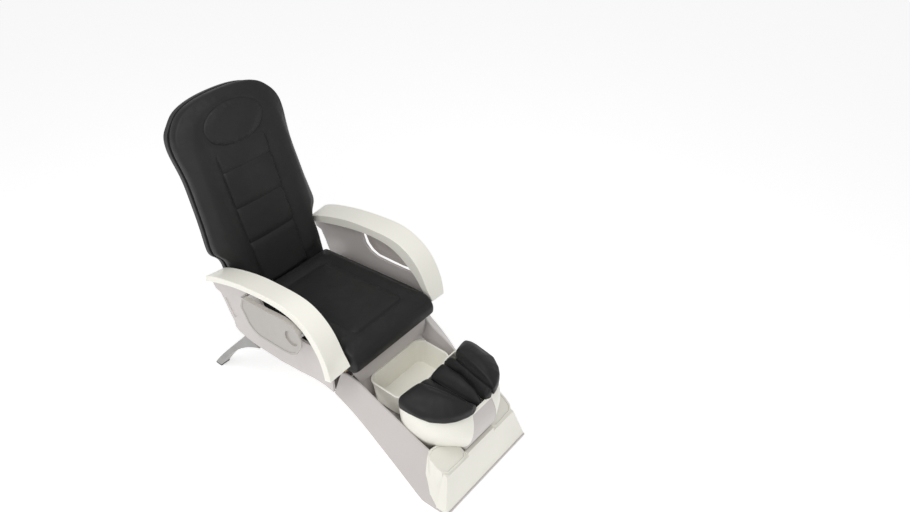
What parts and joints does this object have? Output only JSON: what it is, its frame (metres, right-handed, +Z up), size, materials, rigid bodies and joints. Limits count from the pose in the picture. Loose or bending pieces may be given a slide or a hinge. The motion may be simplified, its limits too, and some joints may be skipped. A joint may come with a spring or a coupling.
{
  "type": "pedicure spa chair",
  "caption": "Pedicure chair with a reclining padded back, sliding seat, curved armrests with swing-out side trays, and a raised foot bath with a padded foot rest.",
  "frame": {"origin": "on the floor, under the middle of the chair's overall length and width", "axes": "+Z up, the sitter faces -Y, +X to the sitter's left"},
  "size_m": [0.744, 1.5251, 1.3805],
  "materials": {
    "body_grey": "satin moulded shell",
    "ivory": "glossy moulded shell",
    "bright_steel": "zinc plated",
    "tray_grey": "satin moulded tray",
    "leg_grey": "satin paint",
    "foot_rubber": "matt",
    "bright_trim": "polished",
    "black_plastic": "textured",
    "plywood": "plain",
    "frame_steel": "black paint",
    "upholstery": "matt coated upholstery over foam"
  },
  "bodies": {
    "base": {"apron": "body_grey", "arm_band_left": "ivory", "arm_band_right": "ivory", "arm_panel_left": "body_grey", "arm_panel_right": "body_grey", "base_shell": "body_grey", "chassis_frame": "frame_steel", "corner_cap_left": "ivory", "corner_cap_right": "ivory", "drain_flange": "ivory", "drain_pipe": "black_plastic", "fixed_rails": "bright_steel", "foot_basin": "ivory", "foot_pads": "upholstery", "foot_pedestal": "ivory", "foot_roll_inner": "upholstery", "foot_roll_outer": "upholstery", "front_glides": "foot_rubber", "front_panel": "ivory", "front_plinth": "body_grey", "leg_bolts": "bright_steel", "leg_feet": "foot_rubber", "leg_left": "leg_grey", "leg_right": "leg_grey", "power_inlet": "black_plastic", "seat_box": "body_grey", "slide_actuator": "black_plastic", "spine_panel": "body_grey", "tray_hinge_left": "bright_steel", "tray_hinge_right": "bright_steel"},
    "seat": {"moving_rails": "bright_steel", "seat_frame": "frame_steel", "seat_pan": "plywood", "seat_cushion": "upholstery", "slide_rod": "bright_steel", "hinge_pins": "bright_steel", "recline_motors": "black_plastic"},
    "back": {"back_frame": "frame_steel", "back_shell": "black_plastic", "back_cushion": "upholstery", "back_centre_panel": "upholstery", "head_pillow": "upholstery"},
    "tray_right": {"tray_right": "tray_grey"},
    "tray_left": {"tray_left": "tray_grey"},
    "stopper": {"drain_stopper": "ivory"}
  },
  "joints": [
    {"name": "seat_slide", "type": "slide", "parent": "base", "child": "seat", "axis": [0, 1, 0], "range_m": [0, 0.1]},
    {"name": "back_recline", "type": "hinge", "parent": "seat", "child": "back", "pos_m": [0, 0.4165, 0.455], "axis": [-1, 0, 0], "range_deg": [0, 40]},
    {"name": "tray_right_swing", "type": "hinge", "parent": "base", "child": "tray_right", "pos_m": [-0.356, 0.0705, 0.69], "axis": [0, 1, 0], "range_deg": [0, 90]},
    {"name": "tray_left_swing", "type": "hinge", "parent": "base", "child": "tray_left", "pos_m": [0.356, 0.0705, 0.69], "axis": [0, -1, 0], "range_deg": [0, 90]},
    {"name": "stopper_lift", "type": "slide", "parent": "base", "child": "stopper", "axis": [0, 0, 1], "range_m": [0, 0.015]}
  ]
}
